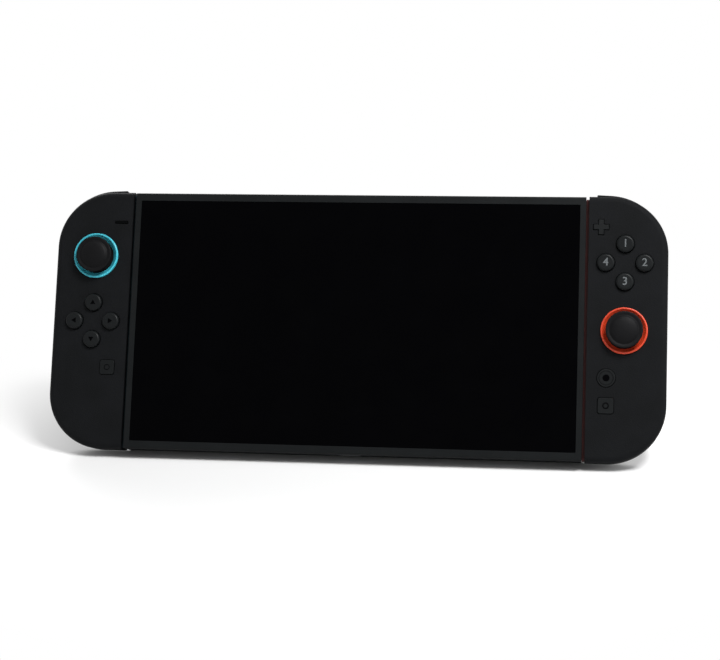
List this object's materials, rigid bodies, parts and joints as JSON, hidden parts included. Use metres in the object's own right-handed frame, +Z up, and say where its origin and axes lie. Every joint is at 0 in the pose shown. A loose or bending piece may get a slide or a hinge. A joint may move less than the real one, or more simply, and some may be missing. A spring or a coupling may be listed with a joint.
{
  "type": "handheld game console",
  "caption": "Handheld game console with a wide screen and detachable side controllers, standing on its open kickstand.",
  "frame": {"origin": "centre of the footprint, at the height of the surface that the console stands on", "axes": "+Z up, +X to the player's right, the screen faces -Y and leans back"},
  "size_m": [0.272, 0.0696, 0.1091],
  "materials": {
    "housing": "fine matte texture",
    "button_plastic": "satin",
    "stick_rubber": "soft matte",
    "cyan_accent": "satin",
    "red_accent": "satin",
    "cover_glass": "polished",
    "display": "polished",
    "sheet_metal": "satin",
    "circuit_board": "satin",
    "inner_plastic": "matte",
    "battery_wrap": "satin",
    "steel": "satin"
  },
  "bodies": {
    "tablet": {"tablet_frame": "housing", "cover_glass": "cover_glass", "display_panel": "display", "mid_plate": "sheet_metal", "main_board": "circuit_board", "heat_sink": "sheet_metal", "fan_housing": "inner_plastic", "tablet_battery": "battery_wrap", "speakers": "inner_plastic", "usb_c_ports": "steel", "headphone_jack": "inner_plastic", "card_slot": "steel", "rear_cover": "housing", "tablet_fasteners": "steel"},
    "fan_rotor": {"fan_rotor": "inner_plastic"},
    "card_slot_cover": {"card_slot_cover": "housing"},
    "power_button": {"power_button": "button_plastic"},
    "volume_rocker": {"volume_rocker": "button_plastic"},
    "kickstand": {"kickstand": "housing"},
    "left_controller": {"left_front_shell": "housing", "left_rear_shell": "housing", "left_rail_plate": "cyan_accent", "left_stick_ring": "cyan_accent", "left_board": "circuit_board", "left_battery": "battery_wrap"},
    "left_stick_carrier": {"left_stick_carrier": "inner_plastic"},
    "left_stick_yoke": {"left_stick_yoke": "inner_plastic"},
    "left_stick": {"left_stick": "stick_rubber"},
    "left_shoulder_button": {"left_shoulder_button": "button_plastic"},
    "left_trigger": {"left_trigger": "button_plastic"},
    "left_release_button": {"left_release_button": "button_plastic"},
    "left_lower_rail_button": {"left_lower_rail_button": "button_plastic"},
    "left_upper_rail_button": {"left_upper_rail_button": "button_plastic"},
    "left_direction_up": {"left_direction_up": "button_plastic"},
    "left_direction_right": {"left_direction_right": "button_plastic"},
    "left_direction_down": {"left_direction_down": "button_plastic"},
    "left_direction_left": {"left_direction_left": "button_plastic"},
    "left_minus_button": {"left_minus_button": "button_plastic"},
    "left_capture_button": {"left_capture_button": "button_plastic"},
    "right_controller": {"right_front_shell": "housing", "right_rear_shell": "housing", "right_rail_plate": "red_accent", "right_stick_ring": "red_accent", "right_board": "circuit_board", "right_battery": "battery_wrap"},
    "right_stick_carrier": {"right_stick_carrier": "inner_plastic"},
    "right_stick_yoke": {"right_stick_yoke": "inner_plastic"},
    "right_stick": {"right_stick": "stick_rubber"},
    "right_shoulder_button": {"right_shoulder_button": "button_plastic"},
    "right_trigger": {"right_trigger": "button_plastic"},
    "right_release_button": {"right_release_button": "button_plastic"},
    "right_lower_rail_button": {"right_lower_rail_button": "button_plastic"},
    "right_upper_rail_button": {"right_upper_rail_button": "button_plastic"},
    "right_action_button_1": {"right_action_button_1": "button_plastic"},
    "right_action_button_2": {"right_action_button_2": "button_plastic"},
    "right_action_button_3": {"right_action_button_3": "button_plastic"},
    "right_action_button_4": {"right_action_button_4": "button_plastic"},
    "right_plus_button": {"right_plus_button": "button_plastic"},
    "right_home_button": {"right_home_button": "button_plastic"},
    "right_extra_button": {"right_extra_button": "button_plastic"}
  },
  "joints": [
    {"name": "kickstand_hinge", "type": "hinge", "parent": "tablet", "child": "kickstand", "pos_m": [0, 0.00008, 0.04852], "axis": [1, 0, 0], "range_deg": [-40, 110]},
    {"name": "left_controller_detach", "type": "slide", "parent": "tablet", "child": "left_controller", "axis": [-1, 0, 0], "range_m": [0, 0.04]},
    {"name": "left_stick_sideways", "type": "hinge", "parent": "left_stick_yoke", "child": "left_stick", "pos_m": [-0.1175, 0.00786, 0.08036], "axis": [0, 0.4364, 0.8997], "range_deg": [-12, 12], "stiffness_Nm_per_rad": 0.012},
    {"name": "left_stick_up_down", "type": "hinge", "parent": "left_stick_carrier", "child": "left_stick_yoke", "pos_m": [-0.1175, 0.00786, 0.08036], "axis": [1, 0, 0], "range_deg": [-12, 12], "stiffness_Nm_per_rad": 0.012},
    {"name": "left_trigger_pull", "type": "hinge", "parent": "left_controller", "child": "left_trigger", "pos_m": [-0.1153, 0.02153, 0.0948], "axis": [-1, 0, 0], "range_deg": [0, 6], "stiffness_Nm_per_rad": 0.16, "springref_deg": -3.44},
    {"name": "left_shoulder_press", "type": "slide", "parent": "left_controller", "child": "left_shoulder_button", "axis": [0, -0.4364, -0.8997], "range_m": [0, 0.0008], "stiffness_N_per_m": 600, "springref_m": -0.0004},
    {"name": "right_controller_detach", "type": "slide", "parent": "tablet", "child": "right_controller", "axis": [1, 0, 0], "range_m": [0, 0.04]},
    {"name": "right_stick_sideways", "type": "hinge", "parent": "right_stick_yoke", "child": "right_stick", "pos_m": [0.1175, -0.00505, 0.05374], "axis": [0, 0.4364, 0.8997], "range_deg": [-12, 12], "stiffness_Nm_per_rad": 0.012},
    {"name": "right_stick_up_down", "type": "hinge", "parent": "right_stick_carrier", "child": "right_stick_yoke", "pos_m": [0.1175, -0.00505, 0.05374], "axis": [1, 0, 0], "range_deg": [-12, 12], "stiffness_Nm_per_rad": 0.012},
    {"name": "right_trigger_pull", "type": "hinge", "parent": "right_controller", "child": "right_trigger", "pos_m": [0.1153, 0.02153, 0.0948], "axis": [-1, 0, 0], "range_deg": [0, 6], "stiffness_Nm_per_rad": 0.16, "springref_deg": -3.44},
    {"name": "right_shoulder_press", "type": "slide", "parent": "right_controller", "child": "right_shoulder_button", "axis": [0, -0.4364, -0.8997], "range_m": [0, 0.0008], "stiffness_N_per_m": 600, "springref_m": -0.0004},
    {"name": "card_cover_hinge", "type": "hinge", "parent": "tablet", "child": "card_slot_cover", "pos_m": [0.04799, 0.02181, 0.10523], "axis": [-1, 0, 0], "range_deg": [0, 100]},
    {"name": "fan_spin", "type": "hinge", "parent": "tablet", "child": "fan_rotor", "pos_m": [-0.03012, 0.01232, 0.08738], "axis": [0, 0.8997, -0.4364], "continuous": true},
    {"name": "left_stick_click", "type": "slide", "parent": "left_controller", "child": "left_stick_carrier", "axis": [0, 0.8997, -0.4364], "range_m": [0, 0.0004], "stiffness_N_per_m": 2500, "springref_m": -0.0003},
    {"name": "left_direction_up_press", "type": "slide", "parent": "left_controller", "child": "left_direction_up", "axis": [0, 0.8997, -0.4364], "range_m": [0, 0.0008], "stiffness_N_per_m": 600, "springref_m": -0.0004},
    {"name": "left_direction_right_press", "type": "slide", "parent": "left_controller", "child": "left_direction_right", "axis": [0, 0.8997, -0.4364], "range_m": [0, 0.0008], "stiffness_N_per_m": 600, "springref_m": -0.0004},
    {"name": "left_direction_down_press", "type": "slide", "parent": "left_controller", "child": "left_direction_down", "axis": [0, 0.8997, -0.4364], "range_m": [0, 0.0008], "stiffness_N_per_m": 600, "springref_m": -0.0004},
    {"name": "left_direction_left_press", "type": "slide", "parent": "left_controller", "child": "left_direction_left", "axis": [0, 0.8997, -0.4364], "range_m": [0, 0.0008], "stiffness_N_per_m": 600, "springref_m": -0.0004},
    {"name": "right_stick_click", "type": "slide", "parent": "right_controller", "child": "right_stick_carrier", "axis": [0, 0.8997, -0.4364], "range_m": [0, 0.0004], "stiffness_N_per_m": 2500, "springref_m": -0.0003},
    {"name": "right_action_button_1_press", "type": "slide", "parent": "right_controller", "child": "right_action_button_1", "axis": [0, 0.8997, -0.4364], "range_m": [0, 0.0008], "stiffness_N_per_m": 600, "springref_m": -0.0004},
    {"name": "right_action_button_2_press", "type": "slide", "parent": "right_controller", "child": "right_action_button_2", "axis": [0, 0.8997, -0.4364], "range_m": [0, 0.0008], "stiffness_N_per_m": 600, "springref_m": -0.0004},
    {"name": "right_action_button_3_press", "type": "slide", "parent": "right_controller", "child": "right_action_button_3", "axis": [0, 0.8997, -0.4364], "range_m": [0, 0.0008], "stiffness_N_per_m": 600, "springref_m": -0.0004},
    {"name": "right_action_button_4_press", "type": "slide", "parent": "right_controller", "child": "right_action_button_4", "axis": [0, 0.8997, -0.4364], "range_m": [0, 0.0008], "stiffness_N_per_m": 600, "springref_m": -0.0004},
    {"name": "volume_rock", "type": "hinge", "parent": "tablet", "child": "volume_rocker", "pos_m": [-0.06395, 0.02051, 0.10552], "axis": [0, 0.8997, -0.4364], "range_deg": [-1.2, 1.2], "stiffness_Nm_per_rad": 0.05},
    {"name": "power_press", "type": "slide", "parent": "tablet", "child": "power_button", "axis": [0, -0.4364, -0.8997], "range_m": [0, 0.0004], "stiffness_N_per_m": 900, "springref_m": -0.0003},
    {"name": "left_minus_button_press", "type": "slide", "parent": "left_controller", "child": "left_minus_button", "axis": [0, 0.8997, -0.4364], "range_m": [0, 0.0003], "stiffness_N_per_m": 900, "springref_m": -0.0003},
    {"name": "left_capture_button_press", "type": "slide", "parent": "left_controller", "child": "left_capture_button", "axis": [0, 0.8997, -0.4364], "range_m": [0, 0.0003], "stiffness_N_per_m": 900, "springref_m": -0.0003},
    {"name": "left_release_press", "type": "slide", "parent": "left_controller", "child": "left_release_button", "axis": [0, -0.8997, 0.4364], "range_m": [0, 0.0005], "stiffness_N_per_m": 900, "springref_m": -0.0003},
    {"name": "left_lower_rail_button_press", "type": "slide", "parent": "left_controller", "child": "left_lower_rail_button", "axis": [-1, 0, 0], "range_m": [0, 0.0005], "stiffness_N_per_m": 900, "springref_m": -0.0003},
    {"name": "left_upper_rail_button_press", "type": "slide", "parent": "left_controller", "child": "left_upper_rail_button", "axis": [-1, 0, 0], "range_m": [0, 0.0005], "stiffness_N_per_m": 900, "springref_m": -0.0003},
    {"name": "right_plus_button_press", "type": "slide", "parent": "right_controller", "child": "right_plus_button", "axis": [0, 0.8997, -0.4364], "range_m": [0, 0.0003], "stiffness_N_per_m": 900, "springref_m": -0.0003},
    {"name": "right_home_button_press", "type": "slide", "parent": "right_controller", "child": "right_home_button", "axis": [0, 0.8997, -0.4364], "range_m": [0, 0.0003], "stiffness_N_per_m": 900, "springref_m": -0.0003},
    {"name": "right_extra_button_press", "type": "slide", "parent": "right_controller", "child": "right_extra_button", "axis": [0, 0.8997, -0.4364], "range_m": [0, 0.0003], "stiffness_N_per_m": 900, "springref_m": -0.0003},
    {"name": "right_release_press", "type": "slide", "parent": "right_controller", "child": "right_release_button", "axis": [0, -0.8997, 0.4364], "range_m": [0, 0.0005], "stiffness_N_per_m": 900, "springref_m": -0.0003},
    {"name": "right_lower_rail_button_press", "type": "slide", "parent": "right_controller", "child": "right_lower_rail_button", "axis": [1, 0, 0], "range_m": [0, 0.0005], "stiffness_N_per_m": 900, "springref_m": -0.0003},
    {"name": "right_upper_rail_button_press", "type": "slide", "parent": "right_controller", "child": "right_upper_rail_button", "axis": [1, 0, 0], "range_m": [0, 0.0005], "stiffness_N_per_m": 900, "springref_m": -0.0003}
  ]
}
